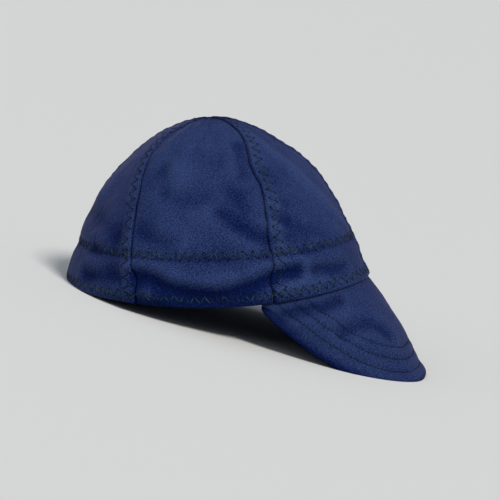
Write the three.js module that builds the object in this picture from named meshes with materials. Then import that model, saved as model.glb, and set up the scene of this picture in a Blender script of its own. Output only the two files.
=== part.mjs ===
// A cloth welding cap: six crown gores, a head band sewn inside the rim, and a turned-down peak of two plies.
// Sizes are in millimetres. The cap is shaped upright, its peak toward +X, and then leaned back until it rests.

import * as THREE from 'three';
import { mergeVertices } from 'three/addons/utils/BufferGeometryUtils.js';

// CROWN SIZES
const rimHalfLength = 104; // from the middle of the rim to the brow, and to the back of the head
const rimHalfWidth = 85; // from the middle of the rim to an ear
const crownHeight = 111; // rim to the top of the crown
const rimSideDip = 9.3; // the rim hangs this much lower at the ears than at the brow
const goreFlat = 0.022; // each gore is pulled in by this share of the radius between its seams
const goreTopAt = 0.994; // share of the way up at which the gores stop, round the crown's middle

// CLOTH SIZES
const goreWall = 1.2;
const hemWall = 1.8; // the gore's lower edge, where it is folded under
const hemWidth = 8;
const hemRoll = 0.35; // how far the edges are rounded off
const seamRoll = 1.6; // width of the rounding beside a seam
const lapWidth = 9; // seam allowance folded to one side of a seam
const lapRise = 0.7; // how much the allowance lifts the gore above it
const seamGap = 0.3; // between the edges of two gores
const layerGap = 0.5; // between two layers that lie on each other
const bandWall = 1.1;
const bandWidth = 31;
const bandInset = 1.5; // the band's lower edge sits this much above the rim
const peakWall = 1.1; // each of the peak's two plies
const pliesGap = 0.3;

// PEAK SIZES
const peakDepth = 77; // rim to the edge of the peak at the brow
const peakHalfTurn = 67; // degrees from the brow to the peak's corner
const peakSideFall = 18; // degrees by which the peak falls steeper at its corners than at the brow
const peakAllowance = 8; // the part of the peak sewn in between the gores and the band

// RESTING
const restPress = 1.5; // how far the cloth gives where it rests

// The crown's outline along its middle, and its width, as shares of the sizes above, from the rim to the top.
const crownRows = [
  { along: 0, rise: 0, front: 1, back: 1, side: 1 },
  { along: 0.06, rise: 0.081, front: 0.954, back: 0.982, side: 0.986 },
  { along: 0.12, rise: 0.163, front: 0.929, back: 0.949, side: 0.969 },
  { along: 0.18, rise: 0.245, front: 0.897, back: 0.907, side: 0.95 },
  { along: 0.25, rise: 0.338, front: 0.848, back: 0.872, side: 0.911 },
  { along: 0.33, rise: 0.44, front: 0.797, back: 0.814, side: 0.853 },
  { along: 0.42, rise: 0.552, front: 0.732, back: 0.748, side: 0.77 },
  { along: 0.51, rise: 0.657, front: 0.65, back: 0.661, side: 0.68 },
  { along: 0.6, rise: 0.749, front: 0.546, back: 0.555, side: 0.57 },
  { along: 0.69, rise: 0.829, front: 0.421, back: 0.457, side: 0.45 },
  { along: 0.77, rise: 0.89, front: 0.314, back: 0.352, side: 0.342 },
  { along: 0.84, rise: 0.935, front: 0.212, back: 0.25, side: 0.246 },
  { along: 0.9, rise: 0.966, front: 0.123, back: 0.164, side: 0.158 },
  { along: 0.95, rise: 0.987, front: 0.045, back: 0.098, side: 0.08 },
  { along: 1, rise: 1, front: -0.034, back: 0.034, side: 0 },
];

// The side seams, in degrees of turn from the brow, from the rim to the top. They sway as they are sewn.
const seamRows = [
  { along: 0, frontSide: 65, backSide: 118 },
  { along: 0.1, frontSide: 64, backSide: 119 },
  { along: 0.2, frontSide: 63, backSide: 123 },
  { along: 0.3, frontSide: 62, backSide: 124.5 },
  { along: 0.4, frontSide: 61, backSide: 127 },
  { along: 0.5, frontSide: 61.5, backSide: 131 },
  { along: 0.6, frontSide: 60.5, backSide: 136.5 },
  { along: 0.7, frontSide: 55.5, backSide: 139.5 },
  { along: 0.8, frontSide: 50, backSide: 139.5 },
  { along: 0.9, frontSide: 46, backSide: 138 },
  { along: 1, frontSide: 46, backSide: 136 },
];

// The peak's edge: its depth from the brow to the corner, as a share of peakDepth.
const peakEdgeRows = [
  { share: 0, reach: 1 },
  { share: 0.25, reach: 0.987 },
  { share: 0.5, reach: 0.834 },
  { share: 0.7, reach: 0.595 },
  { share: 0.85, reach: 0.361 },
  { share: 0.95, reach: 0.19 },
  { share: 1, reach: 0.08 },
];

// The peak's fall from the rim to its edge, for a depth of 1.
const peakFallRows = [
  { along: 0, out: 0, down: 0 },
  { along: 0.12, out: 0.072, down: 0.096 },
  { along: 0.3, out: 0.172, down: 0.246 },
  { along: 0.5, out: 0.276, down: 0.417 },
  { along: 0.7, out: 0.367, down: 0.594 },
  { along: 0.85, out: 0.429, down: 0.731 },
  { along: 0.93, out: 0.472, down: 0.798 },
  { along: 1, out: 0.521, down: 0.848 },
];

// Soft dents (below zero) and swells of the crown: where they are, how long and wide, how they slant, how deep.
const crownDents = [
  { turn: 286, along: 0.38, long: 45, wide: 15, slant: -20, height: -1.6 },
  { turn: 268, along: 0.31, long: 50, wide: 30, slant: 0, height: 1.4 },
  { turn: 254, along: 0.55, long: 40, wide: 26, slant: 0, height: 0.9 },
  { turn: 245, along: 0.53, long: 18, wide: 16, slant: 0, height: -0.9 },
  { turn: 244, along: 0.285, long: 26, wide: 16, slant: 0, height: -1.1 },
  { turn: 262, along: 0.075, long: 60, wide: 14, slant: 90, height: -1.1 },
  { turn: 305, along: 0.5, long: 26, wide: 22, slant: 0, height: -0.9 },
  { turn: 313, along: 0.24, long: 26, wide: 20, slant: 0, height: -0.8 },
  { turn: 332, along: 0.45, long: 80, wide: 24, slant: -22, height: 1 },
  { turn: 229, along: 0.27, long: 42, wide: 16, slant: 0, height: -1 },
  { turn: 195, along: 0.42, long: 60, wide: 22, slant: 0, height: 0.8 },
  { turn: 76, along: 0.36, long: 44, wide: 17, slant: 20, height: -1.4 },
  { turn: 95, along: 0.33, long: 50, wide: 32, slant: 0, height: 1.2 },
  { turn: 122, along: 0.28, long: 28, wide: 18, slant: 0, height: -1 },
  { turn: 96, along: 0.075, long: 56, wide: 14, slant: 90, height: -0.9 },
  { turn: 40, along: 0.45, long: 70, wide: 26, slant: 22, height: 0.9 },
  { turn: 146, along: 0.4, long: 46, wide: 20, slant: 0, height: -0.9 },
];

// The same of the peak: the share from its right corner (-1) to its left (1), and millimetres below the rim.
const peakDents = [
  { share: -0.5, down: 27, long: 34, wide: 16, slant: 90, height: -1.2 },
  { share: -0.75, down: 10, long: 26, wide: 14, slant: 90, height: -0.6 },
  { share: 0.52, down: 24, long: 36, wide: 18, slant: 90, height: -1 },
];

// The six gores in turn from the brow to the left, and which of their two seams lift them over an allowance.
const gores = [
  { name: 'gore_front_left', lapFrom: true, lapTo: true, colour: 0x2a3766 },
  { name: 'gore_side_left', lapFrom: false, lapTo: false, colour: 0x283562 },
  { name: 'gore_back_left', lapFrom: true, lapTo: true, colour: 0x26325c },
  { name: 'gore_back_right', lapFrom: false, lapTo: true, colour: 0x26325c },
  { name: 'gore_side_right', lapFrom: false, lapTo: false, colour: 0x283562 },
  { name: 'gore_front_right', lapFrom: true, lapTo: false, colour: 0x2a3766 },
];

// Facets of each body
const goreColumns = 11;
const goreRows = 23;
const bandRows = 4;
const peakColumns = 26;
const peakRows = 14;

// A smooth curve through each named column of a table.
function readTable(rows, key) {
  const names = Object.keys(rows[0]).filter((name) => name !== key);
  const places = rows.map((row) => row[key]);
  const values = rows.flatMap((row) => names.map((name) => row[name]));
  const curve = new THREE.CubicInterpolant(places, values, names.length);
  return (place) => {
    const found = curve.evaluate(place);
    return Object.fromEntries(names.map((name, i) => [name, found[i]]));
  };
}

const crownAt = readTable(crownRows, 'along');
const seamAt = readTable(seamRows, 'along');
const peakEdgeAt = readTable(peakEdgeRows, 'share');
const peakFallAt = readTable(peakFallRows, 'along');
const { degToRad, clamp, lerp, smoothstep, euclideanModulo } = THREE.MathUtils;

// Length of the middle line from the rim to the top.
function measureMeridian() {
  const steps = 60;
  const line = Array.from({ length: steps + 1 }, (_, i) => upperSurface(0, i / steps));
  return line.slice(1).reduce((sum, point, i) => sum + point.distanceTo(line[i]), 0);
}

// THE CROWN'S SURFACE: turn in degrees from the brow toward the left ear, along from 0 at the rim to 1 at the top.
function upperSurface(turn, along) {
  const row = crownAt(along);
  const angle = degToRad(turn);
  const puff = 1 - goreFlat * Math.sin(Math.PI * clamp(along, 0, 1)) * Math.sin(3 * angle) ** 2;
  const halfLength = puff * rimHalfLength * (row.front + row.back) / 2;
  const middle = rimHalfLength * (row.front - row.back) / 2;
  const dip = rimSideDip * Math.sin(angle) ** 2 * (1 - row.rise) ** 3;
  return new THREE.Vector3(
    middle + halfLength * Math.cos(angle),
    puff * rimHalfWidth * row.side * Math.sin(angle),
    crownHeight * row.rise - dip,
  );
}

const meridian = measureMeridian();

// Millimetres across the crown for one degree of turn.
function acrossPerDegree(turn, along) {
  return upperSurface(turn + 0.5, along).distanceTo(upperSurface(turn - 0.5, along));
}

// The height of one dent at a place given in millimetres from its middle.
function dentHeight(dent, across, up) {
  const slant = degToRad(dent.slant);
  const length = (up * Math.cos(slant) + across * Math.sin(slant)) / dent.long;
  const width = (across * Math.cos(slant) - up * Math.sin(slant)) / dent.wide;
  return dent.height * Math.exp(-4 * (length ** 2 + width ** 2));
}

function crownDent(turn, along) {
  const rowSize = rimHalfLength * (crownAt(along).front + crownAt(along).back) / 2;
  return crownDents.reduce((sum, dent) => {
    const away = euclideanModulo(turn - dent.turn + 180, 360) - 180;
    return sum + dentHeight(dent, degToRad(away) * rowSize, (along - dent.along) * meridian);
  }, 0);
}

function peakDent(share, down) {
  const rimTurn = degToRad(peakHalfTurn) * rimHalfLength;
  return peakDents.reduce((sum, dent) => (
    sum + dentHeight(dent, (share - dent.share) * rimTurn, dent.down - down)), 0);
}

function surfaceNormal(surface, u, v, uStep, vStep) {
  const across = surface(u + uStep, v).sub(surface(u - uStep, v));
  const up = surface(u, v + vStep).sub(surface(u, v - vStep));
  return across.cross(up).normalize();
}

// A point of the crown's cloth, set out from the surface (below zero is toward the head).
function crownPoint(turn, along, out) {
  const place = clamp(along, 0.004, 0.99);
  const normal = surfaceNormal(upperSurface, turn, place, 0.5, 0.004);
  return upperSurface(turn, along).addScaledVector(normal, out + crownDent(turn, along));
}

// THE PEAK'S SURFACE: down is in millimetres below the rim, share is from -1 at the right corner to 1 at the left.
function peakSurface(share, down) {
  const angle = degToRad(share * peakHalfTurn);
  const depth = peakReach(share);
  const fall = peakFallAt(down / depth);
  const steeper = degToRad(peakSideFall) * share ** 2;
  const out = fall.out * Math.cos(steeper) - fall.down * Math.sin(steeper);
  const below = fall.down * Math.cos(steeper) + fall.out * Math.sin(steeper);
  const outward = new THREE.Vector3(rimHalfWidth * Math.cos(angle), rimHalfLength * Math.sin(angle), 0);
  const spot = upperSurface(share * peakHalfTurn, 0).addScaledVector(outward.normalize(), depth * out);
  spot.z -= depth * below;
  return spot;
}

function peakReach(share) {
  return peakDepth * peakEdgeAt(Math.abs(share)).reach;
}

function peakPoint(share, down, out) {
  if (down <= 0) {
    return crownPoint(share * peakHalfTurn, -down / meridian, out);
  }
  const place = clamp(down, 0.2, peakReach(share) - 0.2);
  const normal = surfaceNormal((u, v) => peakSurface(u, -v), share, -place, 0.004, 0.1);
  const rimDent = crownDent(share * peakHalfTurn, 0) * Math.exp(-down / 10);
  return peakSurface(share, down).addScaledVector(normal, out + peakDent(share, down) + rimDent);
}

// A thin body: a grid of columns and rows, its two faces placed by shape(column, row, outside).
function clothBody(columns, rows, shape) {
  const box = new THREE.BoxGeometry(1, 1, 1, columns, rows, 1);
  box.deleteAttribute('normal');
  box.deleteAttribute('uv');
  const spots = box.attributes.position;
  for (let i = 0; i < spots.count; i += 1) {
    const column = Math.round((spots.getX(i) + 0.5) * columns);
    const row = Math.round((spots.getY(i) + 0.5) * rows);
    const spot = shape(column, row, spots.getZ(i) > 0);
    spots.setXYZ(i, spot.x, spot.y, spot.z);
  }
  return box;
}

// GORES
// The turns of the seven seams at one height, from the brow round by the left and back to the brow.
function seamTurns(along) {
  const { frontSide, backSide } = seamAt(along);
  return [0, frontSide, backSide, 180, 360 - backSide, 360 - frontSide, 360];
}

// Turns of a gore's columns at one height: close together beside its seams, even between them.
function goreTurns(gore, along) {
  const index = gores.indexOf(gore);
  const [from, to] = seamTurns(along).slice(index, index + 2);
  const scale = 1 / acrossPerDegree((from + to) / 2, along);
  const edge = seamGap / 2;
  const steps = [0, seamRoll, lapWidth - seamRoll, lapWidth];
  const shrink = Math.min(1, 0.25 * (to - from) / (lapWidth * scale));
  const beside = (lap) => steps.slice(0, lap ? 4 : 2).map((mm) => mm * shrink * scale);
  const start = beside(gore.lapFrom).map((turn) => from + edge / acrossPerDegree(from, along) + turn);
  const end = beside(gore.lapTo).map((turn) => to - edge / acrossPerDegree(to, along) - turn).reverse();
  const free = goreColumns + 1 - start.length - end.length;
  const first = start[start.length - 1];
  const inner = Array.from({ length: free }, (_, i) => lerp(first, end[0], (i + 1) / (free + 1)));
  return [...start, ...inner, ...end];
}

// How far up the gore's rows are: close together at the hem, even above it.
function goreRowPlaces() {
  const hem = [0, hemRoll * 3, hemWidth, hemWidth + 1.4].map((mm) => mm / meridian);
  const free = goreRows + 1 - hem.length;
  const rest = Array.from({ length: free }, (_, i) => lerp(hem[3], goreTopAt, (i + 1) / free));
  return [...hem, ...rest];
}

function goreBody(gore) {
  const places = goreRowPlaces();
  const turnsAt = places.map((along) => goreTurns(gore, along));
  return clothBody(goreColumns, goreRows, (column, row, outside) => {
    const along = places[row];
    const turn = turnsAt[row][column];
    const atHem = row === 0;
    const onEdge = atHem || column === 0 || column === goreColumns;
    const lifted = (gore.lapFrom && (column === 1 || column === 2))
      || (gore.lapTo && (column === goreColumns - 1 || column === goreColumns - 2));
    const wall = along * meridian < hemWidth + 0.1 ? hemWall : goreWall;
    const outer = (lifted ? lapRise : 0) - (onEdge ? hemRoll : 0);
    const inner = atHem ? hemRoll - hemWall : -wall;
    return crownPoint(turn, along, outside ? outer : inner);
  });
}

// HEAD BAND
// Behind the peak the band lies further in, on the peak's allowance.
function bandOffset(turn, up) {
  const away = Math.abs(euclideanModulo(turn + 180, 360) - 180);
  const besidePeak = 1 - smoothstep(away, peakHalfTurn + 3, peakHalfTurn + 20);
  const belowAllowance = 1 - smoothstep(up, peakAllowance + 3, peakAllowance + 14);
  const plies = peakLayer(1) - peakLayer(0) + peakWall + layerGap;
  return hemWall + layerGap + plies * besidePeak * belowAllowance;
}

function bandBody() {
  const low = bandInset / meridian;
  const high = (bandInset + bandWidth) / meridian;
  const places = [low, ...[hemWidth, hemWidth + 6, hemWidth + 14].map((mm) => mm / meridian), high];
  const order = [3, 4, 5, 0, 1, 2];
  const columns = gores.length * goreColumns;
  const turnsAt = places.map((along) => order.flatMap((index, i) => {
    const turns = goreTurns(gores[index], along).map((turn) => turn - (index > 2 ? 360 : 0));
    return i === 0 ? turns : turns.slice(1);
  }));
  return clothBody(columns, bandRows, (column, row, outside) => {
    const along = places[row];
    const turn = turnsAt[row][column];
    const out = -bandOffset(turn, along * meridian) - (outside ? 0 : bandWall);
    return crownPoint(turn, along, out);
  });
}

// PEAK
// The outer face of the top ply (0) and the under ply (1), in from the crown's surface.
function peakLayer(ply) {
  return hemWall + layerGap + ply * (peakWall + pliesGap);
}

function peakBody(ply) {
  const outer = -peakLayer(ply);
  const sewn = [peakAllowance, peakAllowance / 2, 0];
  return clothBody(peakColumns, peakRows, (column, row, outside) => {
    const even = lerp(-1, 1, column / peakColumns);
    const share = even * (1.25 - 0.25 * even ** 2);
    const depth = peakReach(share);
    const free = peakRows - 2;
    const down = row > free ? -sewn[peakRows - row] : depth * (1 - row / free);
    const edge = row === 0 || column === 0 || column === peakColumns ? hemRoll : 0;
    return peakPoint(share, down, outside ? outer - edge : outer - peakWall + edge);
  });
}

// RESTING: the cap leans back until its rim at the back and the sides of its peak stand on one level.
function lowest(bodies, lean) {
  const heights = bodies.flatMap((body) => {
    const spots = body.attributes.position;
    return Array.from({ length: spots.count }, (_, i) => (
      spots.getX(i) * Math.sin(lean) + spots.getZ(i) * Math.cos(lean)));
  });
  return heights.reduce((low, height) => Math.min(low, height), Infinity);
}

function restLean(rimBodies, peakBodies) {
  let low = 0;
  let high = Math.PI / 4;
  for (let i = 0; i < 30; i += 1) {
    const middle = (low + high) / 2;
    if (lowest(peakBodies, middle) < lowest(rimBodies, middle)) {
      low = middle;
    } else {
      high = middle;
    }
  }
  return (low + high) / 2;
}

function setDown(bodies, lean) {
  const drop = lowest(bodies, lean) + restPress;
  const bounds = new THREE.Box3();
  const spot = new THREE.Vector3();
  bodies.forEach((body) => {
    const spots = body.attributes.position;
    for (let i = 0; i < spots.count; i += 1) {
      spot.fromBufferAttribute(spots, i);
      spot.applyAxisAngle(new THREE.Vector3(0, 1, 0), -lean);
      spot.z = Math.max(spot.z - drop, 0);
      spots.setXYZ(i, spot.x, spot.y, spot.z);
      bounds.expandByPoint(spot);
    }
  });
  const middle = bounds.getCenter(spot);
  bodies.forEach((body) => body.translate(-middle.x, -middle.y, 0));
}

function clothMesh(name, body, colour) {
  const geometry = mergeVertices(body, 1e-3);
  geometry.computeVertexNormals();
  const mesh = new THREE.Mesh(geometry, new THREE.MeshStandardMaterial({ color: colour, roughness: 0.9 }));
  mesh.name = name;
  return mesh;
}

const goreBodies = gores.map((gore) => goreBody(gore));
const headBand = bandBody();
const peakTop = peakBody(0);
const peakUnder = peakBody(1);
const allBodies = [...goreBodies, headBand, peakTop, peakUnder];
setDown(allBodies, restLean(goreBodies, [peakTop, peakUnder]));

const cap = new THREE.Group();
cap.name = 'welding_cap';
gores.forEach((gore, i) => cap.add(clothMesh(gore.name, goreBodies[i], gore.colour)));
cap.add(clothMesh('head_band', headBand, 0x212c50));
cap.add(clothMesh('peak_top_ply', peakTop, 0x25315a));
cap.add(clothMesh('peak_under_ply', peakUnder, 0x1f2a4c));

export default cap;
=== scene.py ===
"""A navy cotton welding cap: six gores, a head band sewn inside, a peak of two plies, and its stitches."""

import bmesh
import bpy
import numpy as np
from mathutils import Matrix, Vector


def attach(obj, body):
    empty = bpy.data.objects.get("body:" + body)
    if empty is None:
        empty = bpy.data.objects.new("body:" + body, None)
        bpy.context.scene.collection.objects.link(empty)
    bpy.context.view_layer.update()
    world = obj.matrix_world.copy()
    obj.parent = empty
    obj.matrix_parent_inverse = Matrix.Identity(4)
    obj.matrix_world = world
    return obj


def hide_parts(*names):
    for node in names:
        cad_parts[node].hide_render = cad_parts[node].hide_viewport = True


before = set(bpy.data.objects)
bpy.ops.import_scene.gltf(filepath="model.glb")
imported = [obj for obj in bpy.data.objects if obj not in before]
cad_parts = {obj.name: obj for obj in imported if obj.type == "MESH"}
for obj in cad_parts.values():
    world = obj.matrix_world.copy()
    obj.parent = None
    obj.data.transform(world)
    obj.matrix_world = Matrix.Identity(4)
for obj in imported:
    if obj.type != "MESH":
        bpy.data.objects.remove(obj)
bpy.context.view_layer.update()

# SIZES OF THE SOLIDS, in millimetres and degrees. The cap is upright, its peak toward +X, its left toward +Y.
RIM_HALF_LENGTH = 104  # from the middle of the rim to the brow, and to the back of the head
RIM_HALF_WIDTH = 85  # from the middle of the rim to an ear
CROWN_HEIGHT = 111  # rim to the top of the crown
RIM_SIDE_DIP = 9.3  # the rim hangs this much lower at the ears than at the brow
GORE_FLAT = 0.022  # each gore is pulled in by this share of the radius between its seams
GORE_TOP_AT = 0.994  # share of the way up at which the gores stop
GORE_WALL = 1.2
HEM_WALL = 1.8  # the gore's lower edge, where it is folded under
LAP_WIDTH = 9  # seam allowance folded to one side of a seam
LAP_RISE = 0.7  # how much the allowance lifts the gore above it
LAYER_GAP = 0.5  # between two layers that lie on each other
BAND_WALL = 1.1
BAND_WIDTH = 31
BAND_INSET = 1.5  # the band's lower edge sits this much above the rim
PEAK_WALL = 1.1  # each of the peak's two plies
PLIES_GAP = 0.3
PEAK_DEPTH = 77  # rim to the edge of the peak at the brow
PEAK_HALF_TURN = 67  # degrees from the brow to the peak's corner
PEAK_SIDE_FALL = 18  # degrees by which the peak falls steeper at its corners than at the brow
PEAK_ALLOWANCE = 8  # the part of the peak sewn in between the gores and the band
LEAN = 16.564  # how far the cap leans back as it rests
RIM_MIDDLE = (-27.178, 0.0, 27.579)  # where the middle of the rim is as the cap rests

# The crown's outline along its middle, and its width, as shares of the sizes above, from the rim to the top
CROWN_ROWS = [  # along, rise, front, back, side
    (0, 0, 1, 1, 1),
    (0.06, 0.081, 0.954, 0.982, 0.986),
    (0.12, 0.163, 0.929, 0.949, 0.969),
    (0.18, 0.245, 0.897, 0.907, 0.95),
    (0.25, 0.338, 0.848, 0.872, 0.911),
    (0.33, 0.44, 0.797, 0.814, 0.853),
    (0.42, 0.552, 0.732, 0.748, 0.77),
    (0.51, 0.657, 0.65, 0.661, 0.68),
    (0.6, 0.749, 0.546, 0.555, 0.57),
    (0.69, 0.829, 0.421, 0.457, 0.45),
    (0.77, 0.89, 0.314, 0.352, 0.342),
    (0.84, 0.935, 0.212, 0.25, 0.246),
    (0.9, 0.966, 0.123, 0.164, 0.158),
    (0.95, 0.987, 0.045, 0.098, 0.08),
    (1, 1, -0.034, 0.034, 0),
]
ALONG, RISE, FRONT, BACK, SIDE = zip(*CROWN_ROWS)

# The peak's fall from the rim to its edge, for a depth of 1
PEAK_FALL_ROWS = [  # along, out, down
    (0, 0, 0),
    (0.12, 0.072, 0.096),
    (0.3, 0.172, 0.246),
    (0.5, 0.276, 0.417),
    (0.7, 0.367, 0.594),
    (0.85, 0.429, 0.731),
    (0.93, 0.472, 0.798),
    (1, 0.521, 0.848),
]
FALL_ALONG, FALL_OUT, FALL_DOWN = zip(*PEAK_FALL_ROWS)

# The crown's dents, below zero, and its swells
CROWN_DENTS = [  # turn, along, length, width, slant, height
    (286, 0.38, 45, 15, -20, -1.6),
    (268, 0.31, 50, 30, 0, 1.4),
    (254, 0.55, 40, 26, 0, 0.9),
    (245, 0.53, 18, 16, 0, -0.9),
    (244, 0.285, 26, 16, 0, -1.1),
    (262, 0.075, 60, 14, 90, -1.1),
    (305, 0.5, 26, 22, 0, -0.9),
    (313, 0.24, 26, 20, 0, -0.8),
    (332, 0.45, 80, 24, -22, 1),
    (229, 0.27, 42, 16, 0, -1),
    (195, 0.42, 60, 22, 0, 0.8),
    (76, 0.36, 44, 17, 20, -1.4),
    (95, 0.33, 50, 32, 0, 1.2),
    (122, 0.28, 28, 18, 0, -1),
    (96, 0.075, 56, 14, 90, -0.9),
    (40, 0.45, 70, 26, 22, 0.9),
    (146, 0.4, 46, 20, 0, -0.9),
]

# The peak's dents, by the share from its right corner (-1) to its left (1) and the millimetres below the rim
PEAK_DENTS = [  # share, down, length, width, slant, height
    (-0.5, 27, 34, 16, 90, -1.2),
    (-0.75, 10, 26, 14, 90, -0.6),
    (0.52, 24, 36, 18, 90, -1),
]

# SEAMS, EDGES AND FOLDS, finer than the solids have them. A larger SPREAD makes a form wider.
# The side seams, which sway as they are sewn
FRONT_SIDE_ROWS = [  # along, turn
    (0, 65), (0.08, 64.3), (0.13, 63.4), (0.19, 63.1), (0.25, 62.6), (0.34, 62), (0.42, 61), (0.49, 61.2),
    (0.53, 62.4), (0.58, 62.4), (0.64, 59.4), (0.70, 54.8), (0.77, 51), (0.84, 46), (0.9, 43), (1, 43),
]
BACK_SIDE_ROWS = [  # along, turn
    (0, 118), (0.09, 118.8), (0.14, 121.2), (0.19, 122.6), (0.24, 123.2), (0.3, 124.4), (0.4, 126.8),
    (0.46, 128.2), (0.52, 131.8), (0.58, 135.6), (0.64, 139), (0.7, 140.2), (0.74, 142), (0.775, 143.6),
    (0.81, 141), (0.85, 138.4), (0.9, 138), (1, 138),
]

# The peak's edge: its depth from the brow to just past the corner, as a share of PEAK_DEPTH
PEAK_EDGE_ROWS = [  # share, reach
    (0, 1.02), (0.25, 1.005), (0.5, 0.838), (0.7, 0.58), (0.85, 0.338), (0.95, 0.168), (1, 0.078),
    (1.04, 0.02),
]
PEAK_SHARE, PEAK_REACH = zip(*PEAK_EDGE_ROWS)

# Creases and soft ridges of the right side. The left side has the same ones, a little shifted and shallower.
CREASES = [  # places by turn and along, half width, height
    ([(241, 0.106), (249, 0.086), (255, 0.064), (262, 0.046), (271, 0.038), (278, 0.042), (284, 0.053),
      (289, 0.068), (294, 0.083), (300, 0.096), (307, 0.1)], 4.4, -2.9),
    ([(314, 0.092), (322, 0.084), (334, 0.076)], 3.6, -1.0),
    ([(258, 0.108), (266, 0.1), (278, 0.1)], 6.0, 0.7),
    ([(300, 0.05), (308, 0.055), (320, 0.052)], 4.0, 0.7),
    ([(277, 0.356), (281, 0.32), (286, 0.286), (291, 0.258), (298, 0.232)], 4.6, -1.4),
    ([(301, 0.338), (305, 0.316), (308, 0.3)], 3.6, -1.1),
    ([(254, 0.52), (266, 0.525), (280, 0.52)], 9.0, 1.0),
    ([(296, 0.69), (292, 0.6), (290, 0.52)], 4.2, -1.1),
    ([(241, 0.561), (247, 0.501), (248, 0.455)], 4.0, -0.7),
    ([(240, 0.275), (247, 0.245), (255, 0.228)], 5.0, -0.9),
    ([(320, 0.769), (326, 0.524), (336, 0.395), (351, 0.242)], 5.0, 0.7),
    ([(314, 0.274), (321, 0.245), (326, 0.217)], 4.0, -0.4),
    ([(213, 0.07), (223, 0.078), (230, 0.084), (236, 0.078), (242, 0.06)], 4.8, -1.7),
    ([(213, 0.184), (226, 0.139), (235, 0.126)], 5.0, -0.8),
    ([(192, 0.317), (214, 0.293), (225, 0.243)], 7.0, -0.9),
    ([(309, 0.37), (310, 0.295), (306, 0.233)], 5.0, -0.6),
    ([(268, 0.5), (269, 0.4), (270, 0.3), (269, 0.2)], 16.0, -0.9),
    ([(250, 0.43), (262, 0.40), (270, 0.41)], 5.0, -0.5),
]
PEAK_CREASES = [  # places by share and down, half width, height
    ([(-0.92, 8), (-0.8, 7), (-0.67, 8), (-0.55, 7)], 4.2, -1.5),
    ([(-0.60, 28), (-0.48, 27), (-0.36, 31), (-0.28, 41)], 4.6, -1.2),
    ([(0.70, 9), (0.55, 14), (0.42, 22)], 4.5, -0.9),
    ([(0.40, 34), (0.22, 40), (0.10, 52)], 6.0, -0.9),
]
DENT_FALL = 4  # a dent is down to a fiftieth of its height at its length and width
CREASE_MARKS = 8  # places taken along a crease for each one of its line
SHOULDER_SHARE, SHOULDER_AT, SHOULDER_SPREAD = 0.3, 2, 0.6  # the opposite swell on both sides of a crease
LEFT_TURN_SUM = 363  # the turns of a crease and of its copy on the left add up to this
LEFT_LOWER = 1.03  # the left side's copies are this many times lower
LEFT_DEPTH = 0.75
EARS = (95, 266)
EAR_SPREAD = 27
EAR_TUCKS = ((4.0, 0, 0.07), (1.8, -0.01, 0.034))  # depth, and the places along between which each one ends
CREASES_BEGIN = 8  # the peak's creases come up over this much below the rim
RIM_FOLDS_REACH = 10  # the rim's folds run out on the peak over about this much

# Soft random waves, as rows of height, length and seed
GORE_WAVES = ((0.30, 26, 5), (0.12, 9, 25))
SEAM_WAVES = ((0.3, 13, 80),)
DRAWN_WAVES = ((0.5, 14, 40),)
GROOVE_WAVES = ((0.3, 20, 33),)
PUCKER_WAVES = ((1, 9, 61),)
BAND_WAVES = ((0.2, 17, 90),)
PEAK_WAVES = ((0.22, 24, 70), (0.07, 8, 71))
WAVE_LENGTHS = (0.7, 1.6)  # the shortest and longest single wave, as shares of a row's length
WAVE_CREST = 1.6  # the single waves' sum is divided by this to stay mostly between -1 and 1
MM_PER_DEGREE = 1.6  # about the length round the crown of a degree, for the waves
WAVES_BEGIN = 10  # the gores' waves come up over this much above the rim
SEAM_WAVES_BEGIN = 9
DRAWN_EVEN = 0.5  # what the drawn cloth and the groove are without their waves
GROOVE_EVEN = 0.7

# The gores in turn from the brow to the left, and the stitch row beside each of their two seams, where the
# seam's allowance lies under the gore
GORE_LAPS = {
    "front_left": ("middle", "front_side"),
    "side_left": (None, None),
    "back_left": ("back_side", "middle"),
    "back_right": (None, "back_side"),
    "side_right": (None, None),
    "front_right": ("front_side", None),
}
GORES = list(GORE_LAPS)
SEAM_GAP = 0.66  # between two gores on the outside, where their edges roll in
INNER_OVERLAP = 0.04  # on the inside each gore goes this far past its seam
TOP_PRESS, TOP_PRESS_SPREAD = 2.0, 13  # the allowances pull the crown's top down
DITCH, DITCH_SPREAD = 0.95, 1.2  # along each seam
DRAWN, DRAWN_AT, DRAWN_SPREAD = 0.35, 3, 4  # the cloth that the seam draws in beside it
LAP_MOST = 0.25  # an allowance is at most this share of its gore's width
LAP_START = (0.1, 1.2)  # the lap rises between these distances from the seam
LAP_END = (LAP_WIDTH - 1.2, LAP_WIDTH + 0.9)
HEM_END = (7.5, 9)  # the hem's fold ends between these heights above the rim
GORE_ROLL, BAND_ROLL, PEAK_ROLL = 0.4, 0.3, 0.45  # how far the edges are rolled in
INNER_SWELL = 0.2  # the most that a swell of the outside shows inside
BAND_END_GAP = 0.15  # from the middle of the back to either end of the band
BAND_OUT_BESIDE = (3, 20)  # the band comes out again between these degrees past the plies
BAND_OUT_ABOVE = (3, 14)  # and between these millimetres above them
PLIES_CLOSE = 4  # the gap between the plies closes over this much beside their edge
EDGE_THINNER, EDGE_THIN_WIDTH = 0.25, 1.5
EDGE_DROP, EDGE_DROP_SPREAD = 3.0, 1.7  # how the peak's edge rolls down
EDGE_DROP_BEGINS = (0, 2)  # not above the rim
PEAK_WAVES_BEGIN = (-1, 6)
CORNER_FINER = 0.25  # how much closer the peak's columns lie toward its corners
EDGE_SLOPE_TO = 0.98  # nearer the corners the slope of the peak's edge is left out

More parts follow.
